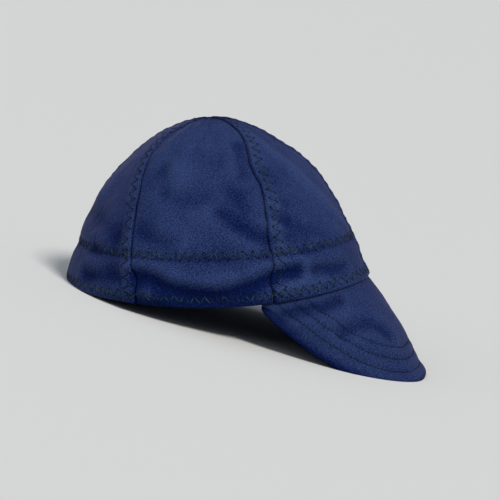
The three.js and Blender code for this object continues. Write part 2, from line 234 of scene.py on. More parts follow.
# Stitch rows: how far each stands from its seam, the rim or the peak's edge, its pitch, and how deep it pulls
SEAM_ROW_IN = {"front_side": 5.6, "back_side": 4.6, "middle": 5.0}
SEAM_PITCH = 6.9
SEAM_ROW_FROM = 1.4  # above the rim
SEAM_ROW_LENGTH = 0.95  # as a share of the way to the top
BAND_ROW_UP = 30.0
BAND_PITCH = 6.4
RIM_ROW_UP = 4.6
RIM_PITCH = 6.8
ROUND_ROW_FROM = 3  # the rows round the crown start this many degrees from the brow
ZIGZAG_HALF = 2.7
RIM_ZIGZAG_HALF = 2.4
ZIGZAG_PULL = 0.5
RIM_PULL = 0.25
PULL_REACH = 1.25  # how far a row pulls, in times its half width
PULL_DIP = 0.45  # the share of the pull that comes and goes along the row
PULL_SWAY = 2.2  # the dips change sides over about this many half widths
PEAK_ROWS_IN = (8.6, 17.2, 25.6)
PEAK_ROW_BELOW_RIM = 1
PEAK_STITCH = 2.8
PEAK_STITCH_SHARE = 0.62  # the part of each stitch that shows
PEAK_PULL, PEAK_PULL_SPREAD = 0.2, 1.1
ROWS_SAG = 0.15  # the cloth's wave from row to row
ROWS_SAG_END = 6  # past the last row
UNEVEN_SWING, UNEVEN_STEP = 0.13, 0.12  # of a zigzag's half width and of half its pitch
THREAD = 0.30  # radius
PEAK_THREAD = 0.36
THREAD_SLIM = 0.9  # the thread's width between its holes, and its flatness, as shares of the radius
THREAD_FLAT = 0.8
THREAD_ARCH = 1.2  # how high it arches, and how deep it goes at its holes, in times the radius
THREAD_SUNK = 0.8
PEAK_FLARE = 0.5  # how much thicker the peak's thread is at its needle holes, where its dark ends stand for the holes' painted shadow
GROOVE, GROOVE_BELOW, GROOVE_SPREAD = 1.5, 2.3, 2.3  # under the band's row of stitches
GROOVE_LEAST = 0.35  # its share at the brow and the back, where it isn't beside an ear
GROOVE_EAR_SPREAD = 55
PUCKER, PUCKER_ABOVE, PUCKER_SPREAD = 0.22, 5.5, 3  # above the same row

# Columns and rows of each sheet's grid
GORE_GRID = (104, 152)
BAND_GRID = (300, 16)
PEAK_GRID = (290, 108)

# How wide the weave lies on a gore and on a ply, and how long on the band
GORE_WEAVE_WIDTH = 104
PEAK_WEAVE_WIDTH = 245
BAND_WEAVE_LENGTH = 590
FOLD_SHADING_RANGE = (-2.6, 1.2)  # the painted shade in the hollows and the painted light on the swells grow no more past these swells
MM_PER_METRE = 1000

# Patterns of the finishes, in metres, or for a scale in waves a metre
RIB_SPACING = 0.0013
RIB_SLOPE = 0.75
RIB_STRAY = 0.0009
FLECK_SCALE = (860.0, 1500.0, 1.0)
FLECK_TURN = 0.45  # radians
TUFT_SCALE = 520.0
FADE_SCALE = 21.0
WEAVE_RELIEF = 0.0003
GLINT_MOTTLE_SCALE = 210.0
NAP_COLOUR = (0.88, 0.70, 1.0, 1)
# How much each pattern lightens the cloth, from its deep colour at 0 to its lit one at 1. RELIEF is how far a
# pattern stands up.
# The tone from the swells is painted shade in the hollows and painted light on the swells.
FLECK_TONE, TUFT_TONE, FADE_TONE, RIB_TONE, FOLD_SHADING_TONE, EVEN_TONE = 4.0, 0.8, 0.35, 0.06, 0.24, 0.38
FLECK_RELIEF, TUFT_RELIEF, RIB_RELIEF = 1.8, 0.8, 0.3
# The thread's mottle is partly its own colour and partly painted glints.
GLINT_MOTTLE_TONE, EVEN_GLINT_MOTTLE = 3.5, 0.3
SHADE_DULL_RATE, SHADE_DULL_FROM = 0.5, 0.05  # how fast the sheen and gloss are taken out, as painted shade, with each millimetre of hollow
HOLE_SHADOW_RATE, HOLE_SHADOW_FROM = 1.3, 0.1  # how fast the painted shadow of the needle holes darkens the thread toward them

# The photograph's view, in degrees above the rim, toward the brow and of tilt, all against the upright cap
ABOVE, TOWARD_BROW, TILT = 8.0, 5.0, 1.5
SIGHT_DISTANCE = 1500
PICTURE = 500  # pixels
MM_PER_PIXEL = 0.685
RIM_MIDDLE_PIXEL = (217.8, 275.7)
SENSOR = 36  # millimetres
FLOOR_HALF = 400  # metres, so that the floor's edge stays out of sight
SIGHT_END = 2000  # metres, the farthest that the camera sees


# SHAPE: every function takes and gives arrays, in millimetres, with the cap upright
def curve_through(places, values, at):
    """The smooth curve through the values, as three.js's cubic interpolant draws it for the solids."""
    places, values = np.asarray(places, float), np.asarray(values, float)
    last = len(places) - 1
    i = np.clip(np.searchsorted(places, at, side="right") - 1, 0, last - 1)
    here, there = places[i], places[i + 1]
    span = there - here
    part = np.clip((at - here) / span, 0, 1)
    before = np.where(i > 0, places[i - 1], there)
    value_before = np.where(i > 0, values[i - 1], values[i + 1])
    after = np.where(i + 2 <= last, places[np.minimum(i + 2, last)], here)
    value_after = np.where(i + 2 <= last, values[np.minimum(i + 2, last)], values[i])
    w0, w1 = 0.5 * span / (here - before), 0.5 * span / (after - there)
    square, cube = part ** 2, part ** 3
    return ((-w0 * cube + 2 * w0 * square - w0 * part) * value_before
            + ((1 + w0) * cube + (-1.5 - 2 * w0) * square + (-0.5 + w0) * part + 1) * values[i]
            + ((-1 - w1) * cube + (1.5 + w1) * square + 0.5 * part) * values[i + 1]
            + (w1 * cube - w1 * square) * value_after)


def ease(low, high, at):
    """From 0 at low to 1 at high, smooth at both ends."""
    part = np.clip((at - low) / (high - low), 0, 1)
    return part * part * (3 - 2 * part)


def hump(at, middle, spread, power=2):
    """1 at the middle, falling away on both sides; a higher power makes it flatter with steeper sides."""
    return np.exp(-((at - middle) / spread) ** power)


def wrapped(turn):
    """The same turn between -180 and 180 degrees."""
    return (turn + 180) % 360 - 180


def ripples(x, y, length, seed, count=14):
    """Soft uneven waves of about that length, mostly between -1 and 1."""
    chance = np.random.RandomState(seed)
    total = 0
    for _ in range(count):
        angle, phase = chance.uniform(0, 2 * np.pi, 2)
        size = 2 * np.pi / (length * chance.uniform(*WAVE_LENGTHS))
        total = total + np.sin(size * (x * np.cos(angle) + y * np.sin(angle)) + phase)
    return total / np.sqrt(count) / WAVE_CREST


def waves(table, x, y, extra_seed=0):
    """The ripples of a table's rows, added up."""
    return sum(height * ripples(x, y, length, seed + extra_seed) for height, length, seed in table)


def crown_surface(turn, along):
    """The crown's smooth shape, by degrees of turn from the brow and the share of the way up to the top."""
    rise, front, back, side = (curve_through(ALONG, column, along) for column in (RISE, FRONT, BACK, SIDE))
    angle = np.radians(turn)
    puff = 1 - GORE_FLAT * np.sin(np.pi * np.clip(along, 0, 1)) * np.sin(3 * angle) ** 2
    half = puff * RIM_HALF_LENGTH * (front + back) / 2
    middle = RIM_HALF_LENGTH * (front - back) / 2
    dip = RIM_SIDE_DIP * np.sin(angle) ** 2 * (1 - rise) ** 3
    return np.stack([middle + half * np.cos(angle), puff * RIM_HALF_WIDTH * side * np.sin(angle),
                     CROWN_HEIGHT * rise - dip], axis=-1)


def normals(surface, u, v, u_step, v_step):
    """The directions straight out of a surface, from places a step away on all four sides."""
    across = surface(u + u_step, v) - surface(u - u_step, v)
    up = surface(u, v + v_step) - surface(u, v - v_step)
    out = np.cross(across, up)
    return out / np.linalg.norm(out, axis=-1, keepdims=True)


middle_line = crown_surface(np.zeros(61), np.linspace(0, 1, 61))
MERIDIAN = np.linalg.norm(np.diff(middle_line, axis=0), axis=1).sum()
PEAK_SHARE_LENGTH = np.radians(PEAK_HALF_TURN) * RIM_HALF_LENGTH  # about the rim's length for a share of 1
TURN_STEP, ALONG_STEP = 0.5, 0.004  # to the places on both sides that a slope is taken from
SHARE_STEP, DOWN_STEP = 0.004, 0.1
TOP_SLOPE_AT = 0.99  # the crown has no slope of its own at the very top
PEAK_SLOPE_MARGIN = 0.2  # and the peak none at its edges


def across_per_degree(turn, along):
    """Millimetres round the crown for one degree of turn."""
    return np.linalg.norm(crown_surface(turn + 0.5, along) - crown_surface(turn - 0.5, along), axis=-1)


def dents(table, across, up):
    """The table's dents; across and up give the millimetres from a dent's place."""
    total = 0
    for first, second, long, wide, slant, height in table:
        x, y, s = across(first), up(second), np.radians(slant)
        length = (y * np.cos(s) + x * np.sin(s)) / long
        width = (x * np.cos(s) - y * np.sin(s)) / wide
        total = total + height * np.exp(-DENT_FALL * (length ** 2 + width ** 2))
    return total


def creases(table, first, second, first_scale, second_scale):
    """The cloth dips or swells along each crease's line of places, with a low shoulder on both sides."""
    total = 0
    for line, half_width, height in table:
        places = np.array(line, float)
        marks = np.linspace(0, len(places) - 1, CREASE_MARKS * len(places))
        near = np.full(np.shape(first), np.inf)
        lines = (curve_through(np.arange(len(places)), column, marks) for column in places.T)
        for first_at, second_at in zip(*lines):
            across = wrapped(first - first_at) * first_scale
            near = np.minimum(near, across ** 2 + ((second - second_at) * second_scale) ** 2)
        near = np.sqrt(near) / half_width
        shoulder = SHOULDER_SHARE * np.exp(-(near - SHOULDER_AT) ** 2 / SHOULDER_SPREAD)
        total = total + height * (np.exp(-near ** 2) - shoulder)
    return total


def crown_folds(turn, along):
    """The solids' dents and swells, then the finer creases, and the rim's tuck beside both ears."""
    front, back = (curve_through(ALONG, column, along) for column in (FRONT, BACK))
    half = RIM_HALF_LENGTH * (front + back) / 2
    total = dents(CROWN_DENTS, lambda at: np.radians(wrapped(turn - at)) * half,
                  lambda at: (along - at) * MERIDIAN)
    to_mm = np.radians(1) * half
    right = creases(CREASES, turn, along, to_mm, MERIDIAN)
    left = creases(CREASES, LEFT_TURN_SUM - turn, along * LEFT_LOWER, to_mm, MERIDIAN)
    beside = sum(hump(turn % 360, ear, EAR_SPREAD) for ear in EARS)
    tuck = sum(depth * (1 - ease(low, high, along)) for depth, low, high in EAR_TUCKS)
    return total + right + LEFT_DEPTH * left - tuck * beside


def crown_point(turn, along, out):
    """A point that far out from the folded crown."""
    normal = normals(crown_surface, turn, np.clip(along, ALONG_STEP, TOP_SLOPE_AT), TURN_STEP, ALONG_STEP)
    height = out + crown_folds(turn, along)
    return crown_surface(turn, along) + normal * np.asarray(height)[..., None]


def peak_reach(share):
    """How deep the peak is there, from the rim to its edge."""
    return PEAK_DEPTH * curve_through(PEAK_SHARE, PEAK_REACH, np.abs(share))


def peak_surface(share, down):
    """The peak's smooth shape, by the share of the way round and the millimetres down from the rim."""
    depth = peak_reach(share)
    out, below = (curve_through(FALL_ALONG, column, down / depth) for column in (FALL_OUT, FALL_DOWN))
    steeper = np.radians(PEAK_SIDE_FALL) * share ** 2
    cos, sin = np.cos(steeper), np.sin(steeper)
    out, below = out * cos - below * sin, below * cos + out * sin
    angle = np.radians(share * PEAK_HALF_TURN)
    outward = np.stack([RIM_HALF_WIDTH * np.cos(angle), RIM_HALF_LENGTH * np.sin(angle), 0 * angle], axis=-1)
    outward /= np.linalg.norm(outward, axis=-1, keepdims=True)
    rim = crown_surface(share * PEAK_HALF_TURN, 0 * share)
    return rim + outward * (depth * out)[..., None] - np.stack([0 * out, 0 * out, depth * below], axis=-1)


def peak_point(share, down, out):
    """A point of the peak's cloth. Above the rim it lies along the crown, between the gores and the band."""
    depth = peak_reach(share)
    below = np.maximum(down, 0)
    inside = np.clip(below, PEAK_SLOPE_MARGIN, depth - PEAK_SLOPE_MARGIN)
    normal = normals(lambda u, v: peak_surface(u, -v), share, -inside, SHARE_STEP, DOWN_STEP)
    height = out + dents(PEAK_DENTS, lambda at: (share - at) * PEAK_SHARE_LENGTH, lambda at: at - below)
    folded = creases(PEAK_CREASES, share, below, PEAK_SHARE_LENGTH, 1)
    height = height + folded * ease(0, CREASES_BEGIN, below)
    height = height + crown_folds(share * PEAK_HALF_TURN, 0 * share) * np.exp(-below / RIM_FOLDS_REACH)
    hanging = peak_surface(share, below) + normal * height[..., None]
    sewn = crown_point(share * PEAK_HALF_TURN, np.maximum(-down, 0) / MERIDIAN, out)
    return np.where((down > 0)[..., None], hanging, sewn)


# SEWING: what the stitches and the folded allowances do to the cloth
def seam_turns(along):
    """The turns of the six seams from the brow round by the left, and the first again, a little uneven."""
    front, back = (curve_through(*zip(*rows), along) for rows in (FRONT_SIDE_ROWS, BACK_SIDE_ROWS))
    up = along * MERIDIAN
    uneven = [waves(SEAM_WAVES, up, 0 * up, seam) * ease(0, SEAM_WAVES_BEGIN, up) for seam in range(6)]
    return [uneven[0], front + uneven[1], back + uneven[2], 180 + uneven[3], 360 - back + uneven[4],
            360 - front + uneven[5], 360 + uneven[0]]


def lap_share(gore_width):
    """Seam allowances narrow where the gore does."""
    return np.minimum(1, LAP_MOST * gore_width / LAP_WIDTH)


def pull(across, up, half_width, pitch, depth):
    """The small hollows that a row of stitches draws into the cloth; across is the distance from the row."""
    beside = hump(across, 0, half_width * PULL_REACH)
    to_side = np.cos(np.pi * across / (PULL_SWAY * half_width))
    wave = 1 - PULL_DIP - PULL_DIP * np.cos(2 * np.pi * up / pitch) * to_side
    return -depth * beside * wave


def gore_height(name, turn, along):
    """How far a gore's face stands off the crown's surface: laps, seam ditches, puckers and soft waves."""
    index = GORES.index(name)
    start, end = seam_turns(along)[index:index + 2]
    scale = across_per_degree((start + end) / 2, along)
    narrow = lap_share((end - start) * scale)
    up = along * MERIDIAN
    height = waves(GORE_WAVES, turn * MM_PER_DEGREE, up, index) * ease(0, WAVES_BEGIN, up)
    height = height - TOP_PRESS * hump((1 - along) * MERIDIAN, 0, TOP_PRESS_SPREAD)
    for place, row in zip((turn - start, end - turn), GORE_LAPS[name]):
        beside = place * scale / narrow
        height = height - DITCH * hump(beside, 0, DITCH_SPREAD)
        uneven = DRAWN_EVEN + waves(DRAWN_WAVES, up, 0 * up, index)
        height = height - DRAWN * hump(beside, DRAWN_AT, DRAWN_SPREAD) * uneven
        if row:
            height = height + LAP_RISE * ease(*LAP_START, beside) * (1 - ease(*LAP_END, beside))
            height = height + pull(beside - SEAM_ROW_IN[row], up, ZIGZAG_HALF, SEAM_PITCH, ZIGZAG_PULL)
    round_rim = turn * across_per_degree(turn, 0 * along)
    above_row = up - BAND_ROW_UP
    height = height + pull(above_row, round_rim, ZIGZAG_HALF, BAND_PITCH, ZIGZAG_PULL)
    away_from_ends = np.abs(turn % 360 - 180)
    by_ear = GROOVE_LEAST + (1 - GROOVE_LEAST) * hump(away_from_ends, 90, GROOVE_EAR_SPREAD, power=4)
    uneven = GROOVE_EVEN + waves(GROOVE_WAVES, round_rim, up)
    groove = hump(above_row, -GROOVE_BELOW, GROOVE_SPREAD) * uneven
    height = height - GROOVE * by_ear * groove
    pucker = hump(above_row, PUCKER_ABOVE, PUCKER_SPREAD)
    height = height + PUCKER * pucker * waves(PUCKER_WAVES, round_rim, up)
    return height + pull(up - RIM_ROW_UP, round_rim, RIM_ZIGZAG_HALF, RIM_PITCH, RIM_PULL)


def peak_slope(share):
    """The edge runs aslant at the sides, so a row the same way in from it is further down there."""
    step = 0.01
    slope = (peak_reach(share + step) - peak_reach(share - step)) / (2 * step * PEAK_SHARE_LENGTH)
    return 1 / np.sqrt(1 + np.where(np.abs(share) < EDGE_SLOPE_TO, slope, 0) ** 2)


def peak_height(share, down):
    """Soft waves of the peak, the hollows along its stitch rows, and its rolled edge."""
    height = waves(PEAK_WAVES, share * PEAK_SHARE_LENGTH, down)
    from_edge = (peak_reach(share) - down) * peak_slope(share)
    for row in PEAK_ROWS_IN:
        height = height - PEAK_PULL * hump(from_edge, row, PEAK_PULL_SPREAD)
    first_row, second_row, last_row = PEAK_ROWS_IN
    between = np.cos(2 * np.pi * (from_edge - first_row) / (second_row - first_row))
    height = height - ROWS_SAG * between * (1 - ease(last_row, last_row + ROWS_SAG_END, from_edge))
    edge = EDGE_DROP * np.exp(-np.maximum(from_edge, 0) / EDGE_DROP_SPREAD)
    return height * ease(*PEAK_WAVES_BEGIN, down) - edge * ease(*EDGE_DROP_BEGINS, down)


# MAKING
def leaned(points):
    """Leans the upright cap back."""
    lean = np.radians(LEAN)
    x, y, z = np.moveaxis(points, -1, 0)
    return np.stack([x * np.cos(lean) - z * np.sin(lean), y, x * np.sin(lean) + z * np.cos(lean)], axis=-1)


def rest(points):
    """Leans the cap back, sets it down, presses it flat where it rests, and turns millimetres to metres."""
    down = leaned(points) + RIM_MIDDLE
    down[..., 2] = np.maximum(down[..., 2], 0)
    return down / MM_PER_METRE


def new_piece(name, mesh, material, nodes=()):
    """A piece with its finish, and in place of the solids of those names."""
    piece = bpy.data.objects.new(name, mesh)
    bpy.context.collection.objects.link(piece)
    mesh.materials.clear()
    mesh.materials.append(material)
    mesh.shade_smooth()
    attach(piece, "root")
    if nodes:
        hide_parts(*nodes)
    return piece


def sheet_grid(name, grid):
    """A closed sheet, 1 wide and 1 long, with its outside at a height of 0 and its inside at -1."""
    columns, rows = grid
    bm = bmesh.new()
    bmesh.ops.create_grid(bm, x_segments=columns, y_segments=rows, size=0.5)
    inside = bmesh.ops.create_grid(bm, x_segments=columns, y_segments=rows, size=0.5)["verts"]
    bmesh.ops.reverse_faces(bm, faces=list({face for vert in inside for face in vert.link_faces}))
    bmesh.ops.translate(bm, verts=inside, vec=(0, 0, -1))
    bmesh.ops.bridge_loops(bm, edges=[edge for edge in bm.edges if edge.is_boundary])
    bmesh.ops.recalc_face_normals(bm, faces=bm.faces)
    mesh = bpy.data.meshes.new(name)
    bm.to_mesh(mesh)
    bm.free()
    return mesh


def vertex_places(mesh):
    """The place of every vertex, as rows of three."""
    places = np.empty(len(mesh.vertices) * 3)
    mesh.vertices.foreach_get("co", places)
    return places.reshape(-1, 3)


def set_attribute(mesh, name, values):
    """One number for each vertex, which the finishes read."""
    mesh.attributes.new(name, "FLOAT", "POINT").data.foreach_set("value", values.astype(np.float32))


def sheet_mesh(name, grid, place, weave_size):
    """A sheet whose places and swells come from place(u, v, outside), u and v from 0 to 1. Its weave is that
    of a flat cloth of the given width and length in millimetres."""
    mesh = sheet_grid(name, grid)
    u, v, height = vertex_places(mesh).T
    u, v, outside = u + 0.5, v + 0.5, height > -0.5
    places, swell = place(u, v, outside)
    mesh.vertices.foreach_set("co", rest(places).ravel())
    # The swell is stored for painted shade and light: the cloth's colour goes deeper in the hollows and paler
    # on the swells.
    set_attribute(mesh, "fold_shading", np.clip(swell + 0 * u, *FOLD_SHADING_RANGE))
    corner = np.empty(len(mesh.loops), dtype=np.int32)
    mesh.loops.foreach_get("vertex_index", corner)
    width, length = weave_size
    weave = np.stack([u * width / MM_PER_METRE, v * length / MM_PER_METRE], axis=-1)
    mesh.uv_layers.new(name="cloth").data.foreach_set("uv", weave[corner].ravel())
    mesh.update()
    return mesh


def rounded(u, v, grid, roll):
    """How far each place is drawn in from the face beside the sheet's edges, so that they look rolled."""
    columns, rows = grid
    cells = np.minimum(np.minimum(u, 1 - u) * columns, np.minimum(v, 1 - v) * rows)
    return roll * np.clip(1 - cells, 0, 1)


def gore_place(name):
    """The place function of a gore between its two seams."""
    index = GORES.index(name)

    def place(u, v, outside):
        along = v * GORE_TOP_AT
        start, end = seam_turns(along)[index:index + 2]
        half_gap = np.where(outside, SEAM_GAP / 2, -INNER_OVERLAP)
        start = start + half_gap / across_per_degree(start, along)
        end = end - half_gap / across_per_degree(end, along)
        turn = start + (end - start) * u
        drawn = rounded(u, v, GORE_GRID, GORE_ROLL)
        wall = GORE_WALL + (HEM_WALL - GORE_WALL) * (1 - ease(*HEM_END, along * MERIDIAN))
        face = gore_height(name, turn, along)
        inner = np.minimum(face, INNER_SWELL) - wall + drawn
        swell = face + crown_folds(turn, along)
        return crown_point(turn, along, np.where(outside, face - drawn, inner)), swell
    return place


def band_offset(turn, up):
    """How far the band lies inside the crown's surface, further in where the peak's plies are sewn in."""
    near, far = BAND_OUT_BESIDE
    low, high = BAND_OUT_ABOVE
    beside_peak = 1 - ease(PEAK_HALF_TURN + near, PEAK_HALF_TURN + far, np.abs(wrapped(turn)))
    below_allowance = 1 - ease(PEAK_ALLOWANCE + low, PEAK_ALLOWANCE + high, up)
    plies = 2 * PEAK_WALL + PLIES_GAP + LAYER_GAP
    return HEM_WALL + LAYER_GAP + plies * beside_peak * below_allowance


def band_place(u, v, outside):
    """The place function of the band, from the back all the way round, its ends just short of each other."""
    turn = -180 + 360 * u + (0.5 - u) * 2 * np.degrees(BAND_END_GAP / RIM_HALF_LENGTH)
    up = BAND_INSET + BAND_WIDTH * v
    drawn = rounded(u, v, BAND_GRID, BAND_ROLL)
    out = -band_offset(turn, up) - np.where(outside, drawn, BAND_WALL - drawn)
    out = out + waves(BAND_WAVES, turn * MM_PER_DEGREE, up) * np.where(outside, 0, 1)
    return crown_point(turn, up / MERIDIAN, out), 0


def peak_place(ply):
    """The place function of a ply of the peak, 0 for the top and 1 for the one under it."""
    def place(u, v, outside):
        even = 2 * u - 1
        share = PEAK_SHARE[-1] * even * (1 + CORNER_FINER - CORNER_FINER * even ** 2)
        reach = peak_reach(share)
        down = (1 - v) * (reach + PEAK_ALLOWANCE) - PEAK_ALLOWANCE
        gap = PLIES_GAP * ease(0, PLIES_CLOSE, reach - down)
        outer = -HEM_WALL - LAYER_GAP - ply * (PEAK_WALL + gap)
        drawn = rounded(u, v, PEAK_GRID, PEAK_ROLL)
        wall = PEAK_WALL - (EDGE_THINNER * (1 - ease(0, EDGE_THIN_WIDTH, reach - down)))
        face = peak_height(share, down)
        swell = face + creases(PEAK_CREASES, share, down, PEAK_SHARE_LENGTH, 1)
        return peak_point(share, down, outer + face + np.where(outside, -drawn, drawn - wall)), swell
    return place


def stitch_template():
    """One stitch, a thin six-sided bar with rings along it, its length along Z from 0 to 1."""
    bm = bmesh.new()
    bmesh.ops.create_cone(bm, cap_ends=True, segments=6, radius1=1, radius2=1, depth=1,
                          matrix=Matrix.Translation((0, 0, 0.5)))
    long_edges = [edge for edge in bm.edges if abs(edge.verts[0].co.z - edge.verts[1].co.z) > 0.5]
    bmesh.ops.subdivide_edges(bm, edges=long_edges, cuts=4)
    mesh = bpy.data.meshes.new("stitch")
    bm.to_mesh(mesh)
    bm.free()
    return mesh


def copied(name, template, count):
    """A mesh of that many copies of the template, all in its place."""
    single = bpy.data.objects.new(name, template)
    bpy.context.collection.objects.link(single)
    copies = single.modifiers.new("copies", "ARRAY")
    copies.count = count
    copies.relative_offset_displace = (0, 0, 0)
    mesh = bpy.data.meshes.new_from_object(single.evaluated_get(bpy.context.evaluated_depsgraph_get()))
    bpy.data.objects.remove(single)
    mesh.name = name
    return mesh


def direction(ends, starts):
    """Arrows of length 1 from the starts to the ends."""
    arrows = ends - starts
    return arrows / np.linalg.norm(arrows, axis=-1, keepdims=True)


def stitches(name, starts, ends, surface, material, slot, radius=THREAD, flare=1.0):
    """Stitches from starts to ends, arrays of two surface coordinates, laid on surface(first, second, out).
    The thread arches up between its needle holes, and is thicker at the holes by the flare's share."""
    template = stitch_template()
    bar = vertex_places(template)
    mesh = copied(name, template, len(starts))
    bpy.data.meshes.remove(template)
    part = bar[:, 2][None, :, None]
    step = 0.02
    path = starts[:, None] * (1 - part) + ends[:, None] * part
    ahead = starts[:, None] * (1 - part - step) + ends[:, None] * (part + step)
    level = 0 * path[..., 0]
    here = surface(path[..., 0], path[..., 1], level)
    forward = direction(surface(ahead[..., 0], ahead[..., 1], level), here)
    upward = direction(surface(path[..., 0], path[..., 1], level + 1), here)
    side = np.cross(upward, forward)
    arch = np.sin(np.pi * np.clip(bar[:, 2], 0, 1))
    # The thread swells at its holes and is coloured dark there, as painted shadow of the needle holes.
    slim = THREAD_SLIM + flare * (1 - arch) ** 3
    lift = radius * (THREAD_ARCH * arch ** 0.5 - THREAD_SUNK)
    spots = (here + side * (bar[:, 0] * radius * slim)[None, :, None]
             + upward * (bar[:, 1] * radius * slim * THREAD_FLAT + lift)[None, :, None])
    mesh.vertices.foreach_set("co", rest(spots).ravel())
    # This mask darkens the thread at its holes as painted shadow.
    set_attribute(mesh, "hole_shadow", np.tile(1 - arch, len(starts)))
    mesh.update()
    return new_piece(name, mesh, material)


# FINISHES
class Socket:
    """A node's output, so that shading reads as arithmetic."""

    def __init__(self, finish, link):
        self.finish, self.link = finish, link

    def math(self, operation, *values):
        return self.finish.node("Math", {"operation": operation}, dict(enumerate(values)))

    def __add__(self, other):
        return self.math("ADD", self, other)

    def __sub__(self, other):
        return self.math("SUBTRACT", self, other)

    def __rsub__(self, other):
        return self.math("SUBTRACT", other, self)

    def __mul__(self, other):
        return self.math("MULTIPLY", self, other)

    __radd__, __rmul__ = __add__, __mul__


class Finish:
    """A material of one principled shader, and the one way its other nodes are made."""

    def __init__(self, name, **constants):
        self.material = bpy.data.materials.new(name)
        self.material.use_nodes = True
        self.tree = self.material.node_tree
        self.shader = self.tree.nodes["Principled BSDF"]
        for socket, value in constants.items():
            self.shader.inputs[socket.replace("_", " ")].default_value = value

    def node(self, kind, settings, values, output=0):
        """A node of that kind: its settings are set first, then its sockets' values or links."""
        node = self.tree.nodes.new("ShaderNode" + kind)
        for name, value in settings.items():
            setattr(node, name, value)
        for name, value in values.items():
            if isinstance(value, Socket):
                self.tree.links.new(value.link, node.inputs[name])
            else:
                node.inputs[name].default_value = value
        return Socket(self, node.outputs[output])

    def clamp(self, value):
        return self.node("Clamp", {}, {0: value})

    def noise(self, place, scale, detail, roughness):
        values = {"Vector": place, "Scale": scale, "Detail": detail, "Roughness": roughness}
        return self.node("TexNoise", {}, values)

    def blend(self, factor, low, high):
        """The low colour where the factor is 0 and the high one where it is 1."""
        return self.node("Mix", {"data_type": "RGBA"}, {"Factor": factor, 6: low, 7: high}, output=2)

    def feed(self, socket, value):
        self.tree.links.new(value.link, self.shader.inputs[socket])


def opaque(colour):
    return (*colour, 1)


def cloth(name, deep, lit):
    """Navy twill, flecked and fuzzy, with painted shade and light: its colour is deeper in the hollows and
    paler on the swells, and inside folds its sheen and gloss are taken out.
    """
    finish = Finish(name, Roughness=0.8, Sheen_Weight=0.115, Sheen_Roughness=0.35, Sheen_Tint=NAP_COLOUR,
                    Specular_IOR_Level=0.1)
    place = finish.node("TexCoord", {}, {}, output="Object")
    weave = finish.node("UVMap", {"uv_map": "cloth"}, {})
    fold_shading = finish.node("Attribute", {"attribute_name": "fold_shading"}, {}, output="Fac")
    across = finish.node("SeparateXYZ", {}, {0: weave}, output=0)
    along = finish.node("SeparateXYZ", {}, {0: weave}, output=1)
    fleck_turn = (0, 0, FLECK_TURN)
    strokes = finish.node("Mapping", {}, {"Vector": weave, "Rotation": fleck_turn, "Scale": FLECK_SCALE})
    flecks = finish.noise(strokes, scale=1.0, detail=2.0, roughness=0.75)
    tufts = finish.noise(place, TUFT_SCALE, detail=2.0, roughness=0.6)
    fade = finish.noise(place, FADE_SCALE, detail=3.0, roughness=0.55)
    slant = (across * RIB_SLOPE + along + tufts * RIB_STRAY) * (2 * np.pi / RIB_SPACING)
    ribs = finish.node("Math", {"operation": "SINE"}, {0: slant})
    speckle = (flecks - 0.5) * FLECK_TONE + (tufts - 0.5) * TUFT_TONE
    # The swells' term paints shade into the hollows and light onto the swells.
    tone = speckle + (fade - 0.5) * FADE_TONE + ribs * RIB_TONE + fold_shading * FOLD_SHADING_TONE + EVEN_TONE
    colour = finish.blend(finish.clamp(tone), opaque(deep), opaque(lit))
    relief = ribs * RIB_RELIEF + flecks * FLECK_RELIEF + tufts * TUFT_RELIEF
    bump = finish.node("Bump", {}, {"Height": relief, "Strength": 0.5, "Distance": WEAVE_RELIEF})
    finish.feed("Base Color", colour)
    finish.feed("Normal", bump)
    # Painted shade: in the hollows a shader without sheen and with less gloss takes over from the napped one.
    inside_folds = {"Base Color": colour, "Roughness": 0.95, "Specular IOR Level": 0.02, "Normal": bump}
    shade_dull = finish.node("BsdfPrincipled", {}, inside_folds)
    hollow = finish.clamp(fold_shading * -SHADE_DULL_RATE - SHADE_DULL_FROM)
    nap = Socket(finish, finish.shader.outputs[0])
    both = finish.node("MixShader", {}, {0: hollow, 1: nap, 2: shade_dull})
    finish.tree.links.new(both.link, finish.tree.nodes["Material Output"].inputs["Surface"])
    return finish.material


def spun_thread(name, hole_shade, dark, light):
    """Spun sewing thread, mottled between dark and light, partly its own colour and partly painted glints,
    and darkened with painted shadow where it goes into its needle holes.
    """
    finish = Finish(name, Roughness=0.7, Specular_IOR_Level=0.08)
    place = finish.node("TexCoord", {}, {}, output="Object")
    hole_shadow = finish.node("Attribute", {"attribute_name": "hole_shadow"}, {}, output="Fac")
    # The lighter colour comes in patches as painted glints, besides the thread's own mottle.
    mottle_and_glints = finish.noise(place, GLINT_MOTTLE_SCALE, detail=2.0, roughness=0.5)
    tone = finish.clamp((mottle_and_glints - 0.5) * GLINT_MOTTLE_TONE + EVEN_GLINT_MOTTLE)
    spun_and_glints = finish.blend(tone, opaque(dark), opaque(light))
    # Painted shadow of the needle holes: the thread turns near black toward them.
    hole_shadow_share = finish.clamp(hole_shadow * HOLE_SHADOW_RATE - HOLE_SHADOW_FROM)
    finish.feed("Base Color", finish.blend(hole_shadow_share, spun_and_glints, opaque(hole_shade)))
    return finish.material


def plain(name, colour):
    return Finish(name, Roughness=0.85, Specular_IOR_Level=0.1, Base_Color=opaque(colour)).material


# GORES, HEAD BAND AND PEAK
crown_cloth = cloth("navy_twill_crown", deep=(0.0020, 0.0070, 0.050), lit=(0.0290, 0.0550, 0.160))
peak_cloth = cloth("navy_twill_peak", deep=(0.0020, 0.0068, 0.047), lit=(0.0275, 0.0515, 0.152))
band_cloth = cloth("navy_twill_band", deep=(0.0017, 0.0064, 0.045), lit=(0.0255, 0.0495, 0.149))

for name in GORES:
    mesh = sheet_mesh("gore_" + name, GORE_GRID, gore_place(name), (GORE_WEAVE_WIDTH, MERIDIAN))
    piece = new_piece("cloth_gore_" + name, mesh, crown_cloth, ["gore_" + name])

